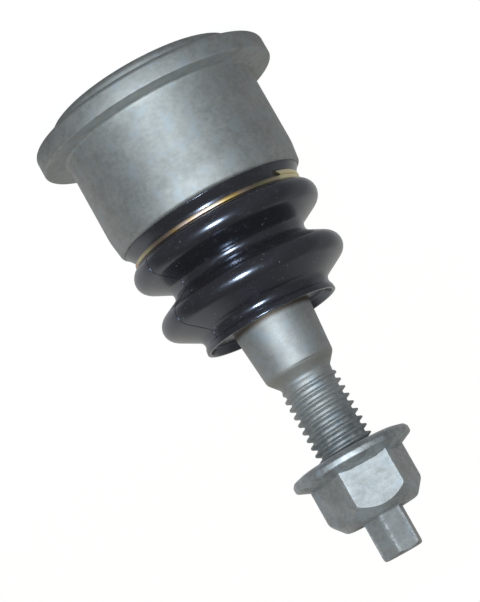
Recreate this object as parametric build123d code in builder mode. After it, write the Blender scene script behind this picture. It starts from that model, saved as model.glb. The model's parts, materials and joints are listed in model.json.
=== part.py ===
from build123d import *
import os
from math import acos, asin, atan2, cos, degrees, hypot, radians, sin, sqrt, tan

os.makedirs("parts", exist_ok=True)

# Suspension ball joint, pressed into its arm from the flange side.
# Millimetres. The ball centre is the origin and the stud points along +Z.
# Every piece but the nut's hexagon and the stud's drive is turned about Z.

# Ball, stud neck and swing
ball_radius = 15.0
ball_flat_radius = 5.0
stud_neck_radius = 7.2
neck_blend = 1.5
swing_limit = 25.0

# Clearances
ball_gap = 0.05
fit_gap = 0.05
thread_gap = 0.04
mouth_margin = 0.45
seat_edge_margin = 0.6

# Polymer seat, in two halves
seat_wall = 3.55
seat_shoulder_wall = 2.25
seat_floor = 2.0
seat_lip_rise = 1.3
seat_chamfer = 3.4
grease_hole_radius = 4.0

# Preload stack under the seat
thrust_plate_thickness = 1.0
thrust_plate_edge = 1.2
spring_thickness = 0.8
spring_height = 1.5
spring_inner_radius = 8.2
cover_ledge = 2.0
cover_thickness = 3.0
cover_chamfer = 1.2
cover_dish_radius = 13.0
cover_dish_depth = 0.8
cover_dish_slope = -45.0

# Housing
barrel_wall = 3.6
lead_in_length = 5.0
lead_in_depth = 0.7
lead_in_rounding = 20.0
shoulder_rise = 0.45
shoulder_rounding = 0.9
flange_width = 5.85
flange_thickness = 5.0
flange_back_rounding = 1.1
flange_seat_rounding = 0.5
flange_fillet = 0.8
collar_wall = 3.5
collar_height = 3.7
collar_rounding = 1.8
lip_thickness = 1.85
lip_bearing = 0.8
lip_end_width = 2.2
throat_height = 0.85
neck_wall = 3.0
neck_height = 6.4
boot_groove_height = 3.5
boot_rib_depth = 0.8

# Boot, from its bead on the housing to its collar on the stud
boot_wall = 1.5
boot_rib_gap = 0.4
bead_wall = 0.95
bead_width = 1.75
bead_height = 1.2
bead_lip = 0.5
bead_rounding = 0.5
ring_groove_height = 3.2
crest_radius = 3.1
crest_offset = 0.65
crest_tuck = 0.4
waist_radius = 2.0
waist_1_depth = 6.75
waist_1_step = 6.7
crest_2_rise = 7.2
crest_2_step = 6.4
waist_2_wall = 2.8
waist_2_step = 7.1
skirt_step = 2.4
skirt_flare = 0.5
skirt_thickness = 0.9
skirt_depth = 1.9
skirt_turn = 35.0
collar_length = 6.3

# Clamp ring, a coil of flat wire that lies askew round the boot's bead
clamp_wire_height = 1.1
clamp_wire_depth = 0.9
clamp_pitch = 1.2
clamp_turns = 1.3
clamp_start_angle = 215.0
clamp_lean = 2.0
clamp_rise = 0.75

# Ring in the boot's collar
end_ring_wall = 1.3
end_ring_width = 2.3
end_ring_height = 2.2

# Stud above the neck
neck_cone_length = 5.0
neck_end_rounding = 3.0
land_lead = 0.4
land_rounding = 2.0
taper_radius = 9.75
taper_length = 13.05
taper_ratio = 6.0
taper_sink = 0.65
shoulder_drop = 2.7
shoulder_turn = 0.9
undercut_depth = 0.6
undercut_length = 1.0
thread_radius = 7.0
thread_recess = 0.2
thread_chamfer = 1.0
drive_flats = 9.2
drive_length = 9.9
drive_angle = 38.5
drive_chamfer = 0.9

# Flange nut
nut_standoff = 22.35
nut_height = 16.4
nut_flats = 21.0
nut_angle = 50.2
nut_flange_width = 4.45
nut_bearing_bevel = 2.3
nut_rim_low = 1.3
nut_rim_high = 2.75
nut_rim_rounding = 0.7
nut_cone_height = 1.85
nut_cone_edge = 0.4
nut_end_face = 1.55
nut_end_cone = 3.7
nut_countersink = 0.9


def swung_neck(height):
    """How far from the axis the tilted stud neck reaches at a height."""
    return height * tan(radians(swing_limit)) + stud_neck_radius / cos(radians(swing_limit))


def turned_edges(part, height, radius):
    """Circular edges of a turned piece at one height and radius."""
    circles = part.edges().filter_by(GeomType.CIRCLE)
    return circles.filter_by(
        lambda edge: abs(edge.arc_center.Z - height) < 0.01 and abs(edge.radius - radius) < 0.01
    )


def flank_ends(center_a, radius_a, center_b, radius_b):
    """Ends of the straight flank that runs from a crest arc to a waist arc, crossing between them."""
    across = (center_b[0] - center_a[0], center_b[1] - center_a[1])
    span = hypot(*across)
    turn = acos((radius_a + radius_b) / span)
    heading = atan2(across[1], across[0])
    if across[1] < 0:
        turn = -turn
    normal = heading - turn
    end_a = (center_a[0] + radius_a * cos(normal), center_a[1] + radius_a * sin(normal))
    end_b = (center_b[0] - radius_b * cos(normal), center_b[1] - radius_b * sin(normal))
    return end_a, end_b


# Worked-out sizes of the ball and seat
seat_sphere = ball_radius + ball_gap
seat_radius = seat_sphere + seat_wall
seat_bottom_z = -(seat_sphere + seat_floor)
seat_cone = (seat_sphere + seat_shoulder_wall) * sqrt(2)
neck_blend_angle = degrees(asin((stud_neck_radius + neck_blend) / (ball_radius + neck_blend)))
seat_edge_angle = radians(swing_limit + neck_blend_angle + seat_edge_margin)
seat_edge = (seat_sphere * sin(seat_edge_angle), seat_sphere * cos(seat_edge_angle))
seat_top_z = seat_edge[1] + seat_lip_rise

# Worked-out sizes of the housing and preload stack, from the seat outwards and down
bore_radius = seat_radius + fit_gap
housing_cone = seat_cone + fit_gap * sqrt(2)
thrust_plate_radius = seat_radius - seat_chamfer + thrust_plate_edge
cover_bore_radius = bore_radius + cover_ledge
cover_radius = cover_bore_radius - fit_gap
barrel_radius = cover_bore_radius + barrel_wall
flange_radius = barrel_radius + flange_width
collar_radius = cover_bore_radius + collar_wall
plate_top_z = seat_bottom_z - fit_gap
plate_bottom_z = plate_top_z - thrust_plate_thickness
cover_top_z = plate_bottom_z - spring_height
cover_bottom_z = cover_top_z - cover_thickness
rest_z = cover_bottom_z - fit_gap - lip_thickness
flange_back_z = rest_z + collar_height
flange_seat_z = flange_back_z + flange_thickness
step_z = seat_top_z + fit_gap
throat_top_z = step_z + throat_height
shoulder_z = step_z + shoulder_rise
neck_top_z = shoulder_z + neck_height
boot_groove_top_z = shoulder_z + boot_groove_height
throat_radius = swung_neck(throat_top_z) + mouth_margin
mouth_radius = swung_neck(neck_top_z) + mouth_margin
boot_groove_radius = mouth_radius + neck_wall
lip_radius = cover_radius - cover_chamfer - lip_bearing
lip_end_radius = collar_radius - collar_rounding - lip_end_width

# Worked-out sizes of the boot: arc centres, then the seats of its two rings
bead_base_z = shoulder_z + fit_gap
bead_top_z = bead_base_z + bead_height
ring_groove_top_z = bead_top_z + ring_groove_height
bead_inner_radius = boot_groove_radius + boot_rib_depth + boot_rib_gap
bead_inner_top_z = boot_groove_top_z - fit_gap
boot_seat_radius = boot_groove_radius + fit_gap
ring_groove_radius = bead_inner_radius + bead_wall
bead_radius = ring_groove_radius + bead_width
clamp_inner_radius = ring_groove_radius + fit_gap
stud_end_bore = taper_radius + fit_gap
end_ring_inner_radius = stud_end_bore + end_ring_wall
end_ring_outer_radius = end_ring_inner_radius + end_ring_width
crest_1_z = ring_groove_top_z + crest_radius - crest_tuck
waist_1_z = crest_1_z + waist_1_step
crest_2_z = waist_1_z + crest_2_step
waist_2_z = crest_2_z + waist_2_step
crest_1_size = bead_inner_radius + crest_offset + crest_radius
waist_1_size = crest_1_size - waist_1_depth
waist_2_size = end_ring_outer_radius + waist_2_wall
crest_2_size = waist_2_size + crest_2_rise
crest_1 = (crest_1_size - crest_radius, crest_1_z)
waist_1 = (waist_1_size + waist_radius, waist_1_z)
crest_2 = (crest_2_size - crest_radius, crest_2_z)
waist_2 = (waist_2_size + waist_radius, waist_2_z)
inner_crest = crest_radius - boot_wall
inner_waist = waist_radius + boot_wall
skirt_z = waist_2_z + skirt_step
skirt_radius = waist_2_size + skirt_flare
skirt_floor_z = skirt_z - skirt_depth
collar_bottom_z = skirt_z - collar_length
end_ring_top_z = collar_bottom_z + end_ring_height

# Worked-out sizes of the stud and nut, upwards from the boot's collar
land_start_z = collar_bottom_z - land_lead
neck_end_z = land_start_z - neck_cone_length
taper_start_z = skirt_z - taper_sink
taper_end_z = taper_start_z + taper_length
taper_end_radius = taper_radius - taper_length / (2 * taper_ratio)
undercut_radius = thread_radius - undercut_depth
thread_start_z = taper_end_z + shoulder_drop + undercut_length
nut_seat_z = taper_end_z + nut_standoff
nut_end_z = nut_seat_z + nut_height
thread_end_z = nut_end_z - thread_recess
drive_end_z = thread_end_z + drive_length
nut_corner_radius = nut_flats / sqrt(3)
nut_flange_radius = nut_flats / 2 + nut_flange_width
nut_bearing_radius = nut_flange_radius - nut_bearing_bevel
nut_neck_radius = nut_flats / 2 + nut_cone_edge
nut_bore_radius = thread_radius + thread_gap
nut_end_radius = nut_bore_radius + nut_end_face
nut_cone_slope = (nut_corner_radius - nut_end_radius) / nut_end_cone


# Housing: flange, press-fit barrel, neck for the boot, socket and rolled lip
with BuildPart() as housing:
    with BuildSketch(Plane.XZ):
        with BuildLine():
            Polyline(
                (lip_end_radius, rest_z),
                (collar_radius, rest_z),
                (collar_radius, flange_back_z),
                (flange_radius, flange_back_z),
                (flange_radius, flange_seat_z),
                (barrel_radius, flange_seat_z),
                (barrel_radius, shoulder_z - lead_in_length),
                (barrel_radius - lead_in_depth, shoulder_z),
                (boot_groove_radius, shoulder_z),
                (boot_groove_radius, boot_groove_top_z),
                (boot_groove_radius + boot_rib_depth, boot_groove_top_z + boot_rib_depth),
                (boot_groove_radius + boot_rib_depth, neck_top_z - boot_rib_depth),
                (boot_groove_radius, neck_top_z),
                (mouth_radius, neck_top_z),
                (throat_radius, throat_top_z),
                (throat_radius, step_z),
                (housing_cone - step_z, step_z),
                (bore_radius, housing_cone - bore_radius),
                (bore_radius, cover_top_z),
                (cover_bore_radius, cover_top_z),
                (cover_bore_radius, cover_bottom_z + cover_chamfer),
                (cover_bore_radius - cover_chamfer, cover_bottom_z - fit_gap),
                (lip_radius, cover_bottom_z - fit_gap),
                close=True,
            )
        make_face()
    revolve(axis=Axis.Z)
    fillet(turned_edges(housing, rest_z, collar_radius), collar_rounding)
    fillet(turned_edges(housing, flange_back_z, flange_radius), flange_back_rounding)
    fillet(turned_edges(housing, flange_seat_z, flange_radius), flange_seat_rounding)
    fillet(turned_edges(housing, flange_seat_z, barrel_radius), flange_fillet)
    fillet(turned_edges(housing, shoulder_z - lead_in_length, barrel_radius), lead_in_rounding)
    fillet(turned_edges(housing, shoulder_z, barrel_radius - lead_in_depth), shoulder_rounding)

housing.part.label = "housing"
export_step(housing.part, "parts/housing.step")

# Cover plate: a steel disc held in by the rolled lip
with BuildPart() as cover_plate:
    with BuildSketch(Plane.XY.offset(cover_bottom_z)):
        Circle(cover_radius)
    extrude(amount=cover_thickness)
    chamfer(turned_edges(cover_plate, cover_bottom_z, cover_radius), cover_chamfer)
    with BuildSketch(Plane.XY.offset(cover_bottom_z)):
        Circle(cover_dish_radius)
    extrude(amount=cover_dish_depth, taper=cover_dish_slope, mode=Mode.SUBTRACT)

cover_plate.part.label = "cover_plate"
export_step(cover_plate.part, "parts/cover_plate.step")

# Disc spring: a shallow cone washer that keeps the seat pressed on the ball
with BuildPart() as disc_spring:
    with BuildSketch(Plane.XZ):
        with BuildLine():
            Polyline(
                (spring_inner_radius, cover_top_z),
                (spring_inner_radius, cover_top_z + spring_thickness),
                (thrust_plate_radius, cover_top_z + spring_height),
                (thrust_plate_radius, cover_top_z + spring_height - spring_thickness),
                close=True,
            )
        make_face()
    revolve(axis=Axis.Z)

disc_spring.part.label = "disc_spring"
export_step(disc_spring.part, "parts/disc_spring.step")

# Thrust plate: spreads the spring's load under the seat
with BuildPart() as thrust_plate:
    with BuildSketch(Plane.XY.offset(plate_bottom_z)):
        Circle(thrust_plate_radius)
        Circle(grease_hole_radius, mode=Mode.SUBTRACT)
    extrude(amount=thrust_plate_thickness)

thrust_plate.part.label = "thrust_plate"
export_step(thrust_plate.part, "parts/thrust_plate.step")

# Lower seat half: a cup under the ball with a grease hole
grease_hole_z = -sqrt(seat_sphere**2 - grease_hole_radius**2)

with BuildPart() as seat_lower:
    with BuildSketch(Plane.XZ):
        with BuildLine():
            cup_line = Polyline(
                (grease_hole_radius, grease_hole_z),
                (grease_hole_radius, seat_bottom_z),
                (seat_radius - seat_chamfer, seat_bottom_z),
                (seat_radius, seat_bottom_z + seat_chamfer),
                (seat_radius, -ball_gap),
                (sqrt(seat_sphere**2 - ball_gap**2), -ball_gap),
            )
            ThreePointArc(
                cup_line @ 1,
                (seat_sphere * cos(radians(45)), -seat_sphere * sin(radians(45))),
                cup_line @ 0,
            )
        make_face()
    revolve(axis=Axis.Z)

seat_lower.part.label = "seat_lower"
export_step(seat_lower.part, "parts/seat_lower.step")

# Upper seat half: holds the ball in and opens round the swinging neck
seat_middle_angle = (seat_edge_angle + radians(90)) / 2

with BuildPart() as seat_upper:
    with BuildSketch(Plane.XZ):
        with BuildLine():
            ring_line = Polyline(
                (sqrt(seat_sphere**2 - ball_gap**2), ball_gap),
                (seat_radius, ball_gap),
                (seat_radius, seat_cone - seat_radius),
                (seat_cone - seat_top_z, seat_top_z),
                (seat_edge[0] + seat_top_z - seat_edge[1], seat_top_z),
                seat_edge,
            )
            ThreePointArc(
                ring_line @ 1,
                (seat_sphere * sin(seat_middle_angle), seat_sphere * cos(seat_middle_angle)),
                ring_line @ 0,
            )
        make_face()
    revolve(axis=Axis.Z)

seat_upper.part.label = "seat_upper"
export_step(seat_upper.part, "parts/seat_upper.step")

# Ball stud: ball, neck, land for the boot, taper, thread blank and hexagon drive
blend_center_z = sqrt((ball_radius + neck_blend) ** 2 - (stud_neck_radius + neck_blend) ** 2)
blend_angle = radians(neck_blend_angle)
ball_flat_z = -sqrt(ball_radius**2 - ball_flat_radius**2)
drive_corner_radius = drive_flats / sqrt(3)

with BuildPart() as ball_stud:
    with BuildSketch(Plane.XZ):
        with BuildLine():
            ball_arc = ThreePointArc(
                (ball_flat_radius, ball_flat_z),
                (ball_radius, 0),
                (ball_radius * sin(blend_angle), ball_radius * cos(blend_angle)),
            )
            blend_arc = RadiusArc(ball_arc @ 1, (stud_neck_radius, blend_center_z), neck_blend)
            Polyline(
                blend_arc @ 1,
                (stud_neck_radius, neck_end_z),
                (taper_radius, land_start_z),
                (taper_radius, taper_start_z),
                (taper_end_radius, taper_end_z),
                (undercut_radius, taper_end_z + shoulder_drop),
                (undercut_radius, thread_start_z),
                (thread_radius, thread_start_z + thread_radius - undercut_radius),
                (thread_radius, thread_end_z - thread_chamfer),
                (thread_radius - thread_chamfer, thread_end_z),
                (0, thread_end_z),
                (0, ball_flat_z),
                ball_arc @ 0,
            )
        make_face()
    revolve(axis=Axis.Z)
    fillet(turned_edges(ball_stud, neck_end_z, stud_neck_radius), neck_end_rounding)
    fillet(turned_edges(ball_stud, land_start_z, taper_radius), land_rounding)
    fillet(turned_edges(ball_stud, taper_end_z, taper_end_radius), shoulder_turn)
    fillet(turned_edges(ball_stud, taper_end_z + shoulder_drop, undercut_radius), shoulder_turn)
    with BuildSketch(Plane.XY.offset(thread_end_z)):
        RegularPolygon(drive_flats / 2, 6, major_radius=False, rotation=drive_angle)
    extrude(amount=drive_end_z - thread_end_z)
    with BuildSketch(Plane.XZ):
        with BuildLine():
            Polyline(
                (drive_corner_radius - drive_chamfer, drive_end_z),
                (drive_corner_radius + drive_chamfer, drive_end_z),
                (drive_corner_radius + drive_chamfer, drive_end_z - 2 * drive_chamfer),
                close=True,
            )
        make_face()
    revolve(axis=Axis.Z, mode=Mode.SUBTRACT)

ball_stud.part.label = "ball_stud"
export_step(ball_stud.part, "parts/ball_stud.step")

# Boot: two convolutions between a bead on the housing and a collar on the stud
crest_1_reach = sqrt(crest_radius**2 - (crest_1_z - ring_groove_top_z) ** 2)
crest_1_start = (crest_1[0] + crest_1_reach, ring_groove_top_z)
waist_2_end = (
    waist_2[0] - waist_radius * cos(radians(skirt_turn)),
    waist_2_z + waist_radius * sin(radians(skirt_turn)),
)
inner_crest_1_end = (bead_inner_radius, crest_1_z - sqrt(inner_crest**2 - crest_offset**2))
flank_1 = flank_ends(crest_1, crest_radius, waist_1, waist_radius)
flank_2 = flank_ends(crest_2, crest_radius, waist_1, waist_radius)
flank_3 = flank_ends(crest_2, crest_radius, waist_2, waist_radius)
inner_flank_1 = flank_ends(crest_1, inner_crest, waist_1, inner_waist)
inner_flank_2 = flank_ends(crest_2, inner_crest, waist_1, inner_waist)
inner_flank_3 = flank_ends(crest_2, inner_crest, waist_2, inner_waist)
collar_share = (collar_bottom_z - inner_flank_3[0][1]) / (inner_flank_3[1][1] - inner_flank_3[0][1])
collar_edge_radius = inner_flank_3[0][0] + collar_share * (inner_flank_3[1][0] - inner_flank_3[0][0])

with BuildPart() as boot:
    with BuildSketch(Plane.XZ):
        with BuildLine():
            Polyline(
                inner_crest_1_end,
                (bead_inner_radius, bead_inner_top_z),
                (boot_seat_radius, bead_inner_top_z),
                (boot_seat_radius, bead_base_z),
                (bead_radius, bead_base_z),
                (ring_groove_radius + bead_lip, bead_top_z),
                (ring_groove_radius, bead_top_z),
                (ring_groove_radius, ring_groove_top_z),
                crest_1_start,
            )
            ThreePointArc(crest_1_start, (crest_1_size, crest_1_z), flank_1[0])
            Line(*flank_1)
            ThreePointArc(flank_1[1], (waist_1_size, waist_1_z), flank_2[1])
            Line(*flank_2)
            ThreePointArc(flank_2[0], (crest_2_size, crest_2_z), flank_3[0])
            Line(*flank_3)
            ThreePointArc(flank_3[1], (waist_2_size, waist_2_z), waist_2_end)
            Polyline(
                waist_2_end,
                (skirt_radius, skirt_z),
                (skirt_radius - skirt_thickness, skirt_z),
                (waist_2_size - skirt_thickness, skirt_floor_z),
                (stud_end_bore, skirt_floor_z),
                (stud_end_bore, collar_bottom_z),
                (end_ring_inner_radius - fit_gap, collar_bottom_z),
                (end_ring_inner_radius - fit_gap, end_ring_top_z + fit_gap),
                (end_ring_outer_radius + fit_gap, end_ring_top_z + fit_gap),
                (end_ring_outer_radius + fit_gap, collar_bottom_z),
                (collar_edge_radius, collar_bottom_z),
                inner_flank_3[0],
            )
            ThreePointArc(inner_flank_3[0], (crest_2_size - boot_wall, crest_2_z), inner_flank_2[0])
            Line(*inner_flank_2)
            ThreePointArc(inner_flank_2[1], (waist_1_size - boot_wall, waist_1_z), inner_flank_1[1])
            Line(*inner_flank_1)
            ThreePointArc(inner_flank_1[0], (crest_1_size - boot_wall, crest_1_z), inner_crest_1_end)
        make_face()
    revolve(axis=Axis.Z)
    fillet(turned_edges(boot, bead_base_z, bead_radius), bead_rounding)

boot.part.label = "boot"
export_step(boot.part, "parts/boot.step")

# Clamp ring: a coil of flat wire that lies a little askew in the boot's groove
clamp_angle = radians(clamp_start_angle)
clamp_tilt = Vector(0, sin(radians(clamp_lean)), cos(radians(clamp_lean)))
clamp_start = Vector(cos(clamp_angle), sin(clamp_angle), 0)
clamp_plane = Plane(
    origin=(0, 0, bead_top_z + clamp_rise),
    x_dir=clamp_start - clamp_tilt * clamp_start.dot(clamp_tilt),
    z_dir=clamp_tilt,
)
clamp_mean_radius = clamp_inner_radius + clamp_wire_depth / 2

with BuildPart() as boot_clamp_ring:
    with BuildLine(clamp_plane) as clamp_path:
        Helix(clamp_pitch, clamp_pitch * clamp_turns, clamp_mean_radius, lefthand=True)
    with BuildSketch(Plane(clamp_path.line @ 0, x_dir=clamp_plane.x_dir, z_dir=clamp_path.line % 0)):
        Rectangle(clamp_wire_depth, clamp_wire_height)
    sweep(is_frenet=True)

boot_clamp_ring.part.label = "boot_clamp_ring"
export_step(boot_clamp_ring.part, "parts/boot_clamp_ring.step")

# End ring: keeps the boot's collar round and tight on the stud
with BuildPart() as boot_end_ring:
    with BuildSketch(Plane.XY.offset(collar_bottom_z)):
        Circle(end_ring_outer_radius)
        Circle(end_ring_inner_radius, mode=Mode.SUBTRACT)
    extrude(amount=end_ring_height)

boot_end_ring.part.label = "boot_end_ring"
export_step(boot_end_ring.part, "parts/boot_end_ring.step")

# Flange nut: hexagon on a round bearing flange, coned at its free end
with BuildPart() as flange_nut:
    with BuildSketch(Plane.XY.offset(nut_seat_z + nut_rim_high)):
        RegularPolygon(nut_flats / 2, 6, major_radius=False, rotation=nut_angle)
    extrude(amount=nut_height - nut_rim_high)
    with BuildSketch(Plane.XZ):
        with BuildLine():
            Polyline(
                (nut_end_radius, nut_end_z),
                (nut_end_radius + 2 * nut_cone_slope * nut_end_cone, nut_end_z),
                (nut_end_radius + 2 * nut_cone_slope * nut_end_cone, nut_end_z - 2 * nut_end_cone),
                close=True,
            )
        make_face()
    revolve(axis=Axis.Z, mode=Mode.SUBTRACT)
    with BuildSketch(Plane.XZ):
        with BuildLine():
            Polyline(
                (0, nut_seat_z),
                (nut_bearing_radius, nut_seat_z),
                (nut_flange_radius, nut_seat_z + nut_rim_low),
                (nut_flange_radius, nut_seat_z + nut_rim_high),
                (nut_neck_radius, nut_seat_z + nut_rim_high + nut_cone_height),
                (0, nut_seat_z + nut_rim_high + nut_cone_height),
                close=True,
            )
        make_face()
    revolve(axis=Axis.Z)
    fillet(turned_edges(flange_nut, nut_seat_z + nut_rim_high, nut_flange_radius), nut_rim_rounding)
    fillet(turned_edges(flange_nut, nut_seat_z + nut_rim_low, nut_flange_radius), nut_rim_rounding)
    with Locations((0, 0, nut_end_z)):
        Hole(nut_bore_radius, nut_height)
    chamfer(turned_edges(flange_nut, nut_end_z, nut_bore_radius), nut_countersink)
    chamfer(turned_edges(flange_nut, nut_seat_z, nut_bore_radius), nut_countersink)

flange_nut.part.label = "flange_nut"
export_step(flange_nut.part, "parts/flange_nut.step")
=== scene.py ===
import json
from math import acos, asin, atan2, cos, degrees, hypot, pi, radians, sin, sqrt, tan

import bmesh
import bpy
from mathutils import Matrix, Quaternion, Vector


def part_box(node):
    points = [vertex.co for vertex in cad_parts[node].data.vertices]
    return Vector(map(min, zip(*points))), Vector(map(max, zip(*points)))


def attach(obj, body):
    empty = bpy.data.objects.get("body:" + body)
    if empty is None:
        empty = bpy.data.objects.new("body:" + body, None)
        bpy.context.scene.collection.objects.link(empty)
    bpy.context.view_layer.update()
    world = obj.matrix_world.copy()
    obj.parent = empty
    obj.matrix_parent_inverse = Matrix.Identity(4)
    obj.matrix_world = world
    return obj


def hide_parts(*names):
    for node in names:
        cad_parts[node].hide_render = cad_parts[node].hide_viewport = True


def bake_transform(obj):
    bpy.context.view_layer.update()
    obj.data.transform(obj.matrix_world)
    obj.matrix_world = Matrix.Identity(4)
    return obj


# Suspension ball joint, standing on its rolled lip with the stud pointing up.
# Outlines are (radius, height) in millimetres, with the ball centre at height 0.

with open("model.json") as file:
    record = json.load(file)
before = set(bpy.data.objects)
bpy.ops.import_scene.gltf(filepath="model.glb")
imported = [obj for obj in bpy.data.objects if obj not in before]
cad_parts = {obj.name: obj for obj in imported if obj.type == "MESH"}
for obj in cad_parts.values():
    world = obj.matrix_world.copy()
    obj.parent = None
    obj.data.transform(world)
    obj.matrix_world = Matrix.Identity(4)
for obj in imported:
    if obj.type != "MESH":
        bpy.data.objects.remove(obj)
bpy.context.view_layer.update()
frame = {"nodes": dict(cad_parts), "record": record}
MM = 0.001
SMOOTH_STEPS = 192
# The mesh attribute that keeps each point's place at rest
REST_PLACE = "rest_place"


def top(node):
    """Highest point of a solid, in millimetres."""
    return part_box(node)[1].z / MM


def foot(node):
    """Lowest point of a solid, in millimetres."""
    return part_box(node)[0].z / MM


def reach(node):
    """Outer radius of a turned solid, in millimetres."""
    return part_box(node)[1].y / MM


def mount(name):
    """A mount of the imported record."""
    return next(entry for entry in frame["record"]["mounts"] if entry["name"] == name)


# Measures that the finishes share with the shapes
TAPER_START = mount("stud_taper")["pos_m"][2] / MM
TAPER_LENGTH = mount("stud_taper")["dims"]["length_mm"]
TAPER_END = TAPER_START + TAPER_LENGTH
DRIVE_FLATS = 9.2
NUT_FLATS = 21.0


# Camera, lying on its side so that the stud points to the lower right of the picture
CAMERA_DISTANCE = 513.4
CAMERA_HEIGHT = 116.04
CAMERA_AIM = Vector((4.484, 0, 31.686)) * MM
CAMERA_ROLL = 150.62
CAMERA_LENS = 134.46
CAMERA_SENSOR = 36
CAMERA_NEAR = 0.01
CAMERA_FAR = 100

camera_data = bpy.data.cameras.new("camera")
camera_data.lens = CAMERA_LENS
camera_data.sensor_width = CAMERA_SENSOR
camera_data.clip_start = CAMERA_NEAR
camera_data.clip_end = CAMERA_FAR
camera = bpy.data.objects.new("camera", camera_data)
camera.location = Vector((0, -CAMERA_DISTANCE, CAMERA_HEIGHT)) * MM
camera.rotation_mode = "QUATERNION"
level_view = (CAMERA_AIM - camera.location).to_track_quat("-Z", "Y")
camera.rotation_quaternion = level_view @ Quaternion((0, 0, 1), radians(CAMERA_ROLL))
bpy.context.scene.collection.objects.link(camera)
bpy.context.scene.camera = camera
bpy.context.scene.view_settings.view_transform = "Standard"


class Reading:
    """A value at each point of a surface. Arithmetic on it adds Math nodes."""

    def __init__(self, paint, socket):
        self.paint = paint
        self.socket = socket

    def math(self, operation, *values):
        return self.paint.node("Math", {"operation": operation}, dict(enumerate(values)))

    def __add__(self, other):
        return self.math("ADD", self, other)

    def __radd__(self, other):
        return self.math("ADD", other, self)

    def __sub__(self, other):
        return self.math("SUBTRACT", self, other)

    def __rsub__(self, other):
        return self.math("SUBTRACT", other, self)

    def __mul__(self, other):
        return self.math("MULTIPLY", self, other)

    def __rmul__(self, other):
        return self.math("MULTIPLY", other, self)

    def __abs__(self):
        return self.math("ABSOLUTE", self)

    def rises(self, low, high):
        """0 below low, 1 above high and a smooth step between them."""
        settings = {"interpolation_type": "SMOOTHSTEP", "clamp": True}
        return self.paint.node("MapRange", settings, {"Value": self, "From Min": low, "From Max": high})

    def near(self, middle, width):
        """1 at middle, falling to 0 at width away."""
        return 1 - abs(self - middle).rises(0, width)


# Sockets of the Mix node that hold its two colours and its result
MIX_FIRST = 6
MIX_SECOND = 7
MIX_RESULT = 2


class Paint:
    """Nodes of a material, a lamp or the world. Every node comes from the node method."""

    def __init__(self, owner, follows=None):
        owner.use_nodes = True
        self.owner = owner
        self.follows = follows
        self.tree = owner.node_tree
        self.tree.nodes.clear()

    def node(self, kind, settings=None, inputs=None, output=0):
        """A node of that kind, with its settings set first, then its sockets' values or links."""
        made = self.tree.nodes.new("ShaderNode" + kind)
        for name, value in (settings or {}).items():
            if name == "stops":
                for place, colour in value[1:-1]:
                    made.color_ramp.elements.new(place)
                for element, (place, colour) in zip(made.color_ramp.elements, value):
                    element.position = place
                    element.color = colour
            else:
                setattr(made, name, value)
        for name, value in (inputs or {}).items():
            if isinstance(value, Reading):
                self.tree.links.new(value.socket, made.inputs[name])
            else:
                made.inputs[name].default_value = value
        return Reading(self, made.outputs[output]) if made.outputs else None

    def place(self, stretch=(1, 1, 1)):
        """The point on the object in millimetres, with each axis stretched."""
        if self.follows:
            here = self.node("Attribute", {"attribute_name": self.follows}, output="Vector")
        else:
            here = self.node("TexCoord", output="Object")
        scale = [factor / MM for factor in stretch]
        return self.node("VectorMath", {"operation": "MULTIPLY"}, {0: here, 1: scale})

    def along(self, axis):
        """One coordinate of the point in millimetres, X, Y or Z."""
        return self.node("SeparateXYZ", None, {0: self.place()}, axis)

    def distance_from_axis(self):
        """The point's distance from the turning axis in millimetres."""
        return self.node("VectorMath", {"operation": "LENGTH"}, {0: self.place((1, 1, 0))}, "Value")

    def noise(self, scale, stretch=(1, 1, 1), detail=3, roughness=0.5):
        """Cloudy noise from 0 to 1, with scale in waves per millimetre."""
        sizes = {"Scale": scale, "Detail": detail, "Roughness": roughness}
        return self.node("TexNoise", None, {"Vector": self.place(stretch), **sizes})

    def blend(self, share, first, second):
        """A colour that goes from first to second with share."""
        inputs = {0: share, MIX_FIRST: first, MIX_SECOND: second}
        return self.node("Mix", {"data_type": "RGBA"}, inputs, MIX_RESULT)

    def bump(self, height, strength, distance):
        """A normal from a height from 0 to 1, with distance in millimetres."""
        inputs = {"Height": height, "Strength": strength, "Distance": distance * MM}
        return self.node("Bump", None, inputs)

    def surface(self, **sockets):
        """Ends a material in one Principled surface."""
        inputs = {}
        for name, value in sockets.items():
            inputs[name.replace("_", " ").title().replace("Ior", "IOR")] = value
        shader = self.node("BsdfPrincipled", None, inputs)
        self.node("OutputMaterial", None, {"Surface": shader})
        return self.owner


def grey(level):
    """A neutral colour."""
    return (level, level, level, 1)


# Studio: a pale room behind the object, a dim one on the camera's side, and a soft flash
ROOM_DIM = 0.105
ROOM_RIGHT_FRONT = 0.13
ROOM_RIGHT = 0.30
ROOM_PANEL = 0.55
ROOM_BACK = 0.50
ROOM_EVEN = 0.35
ROOM_TINT = (1.0, 1.0, 0.93, 1)
# How far a direction turns, as its sine, where the room's tones change
SEAM = 0.1
PANEL_START = 0.12
PANEL_FULL = 0.5
PANEL_DEPTH = 0.42
BACK_START = 0.55
BACK_FULL = 0.9
FLOOR_SHADOW = 0.20
FLOOR_LIT = 0.33
FLOOR_GREY = 0.9
FLOOR_SIZE = 20
FLASH_PLACE = (50, -630, 125)
FLASH_AIM = (0, 0, 30)
FLASH_SIZE = 135
FLASH_POWER = 4.0
FLASH_TINT = (0.81, 0.92, 1.0)


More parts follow.
